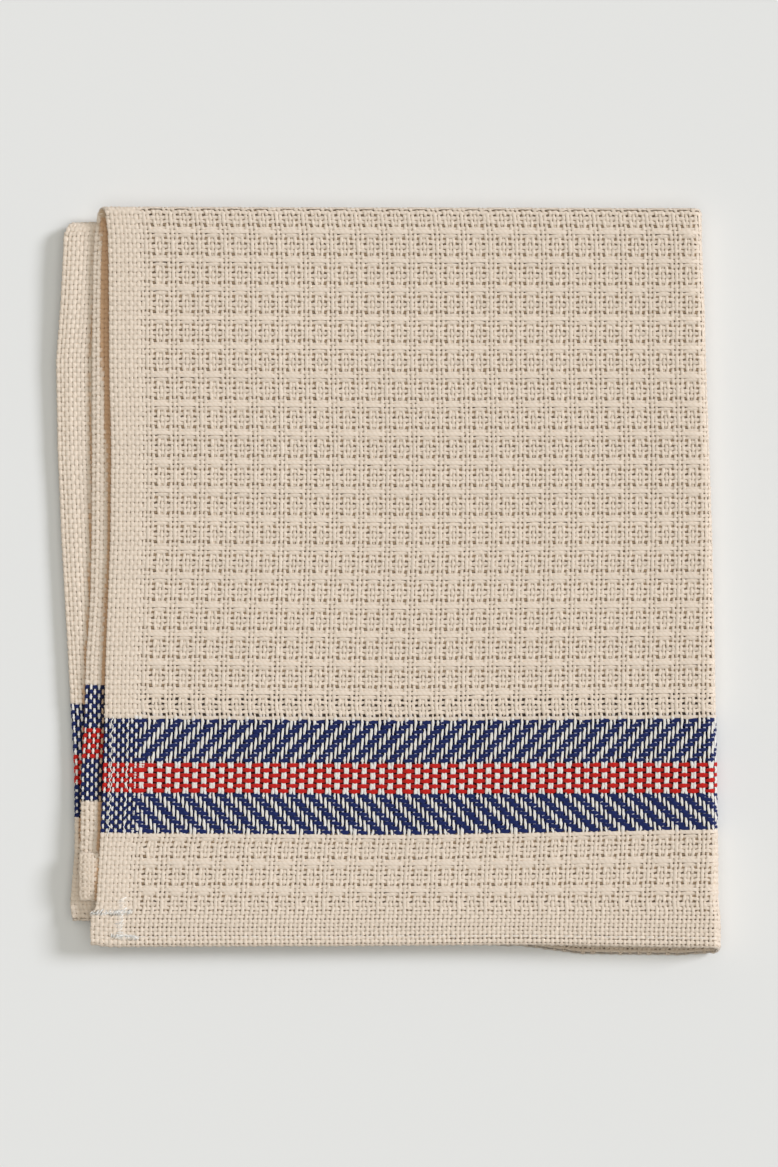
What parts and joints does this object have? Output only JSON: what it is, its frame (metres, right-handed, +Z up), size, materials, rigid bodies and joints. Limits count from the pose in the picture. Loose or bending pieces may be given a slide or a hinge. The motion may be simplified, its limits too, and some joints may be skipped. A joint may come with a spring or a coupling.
{
  "type": "dishcloth",
  "caption": "Ecru cotton waffle dishcloth with a navy and red woven band, folded in half twice and lying flat.",
  "frame": {"origin": "under the middle of the folded cloth, on the surface it lies on", "axes": "+Z up off the surface, +Y towards the top fold along the warp, +X towards the side fold"},
  "size_m": [0.1788, 0.2013, 0.0095],
  "materials": {
    "cotton_cloth": "unbleached cotton in a waffle weave with plain borders and a band of navy and red stripes, matt"
  },
  "bodies": {
    "root": {"cloth": "cotton_cloth"}
  },
  "joints": []
}
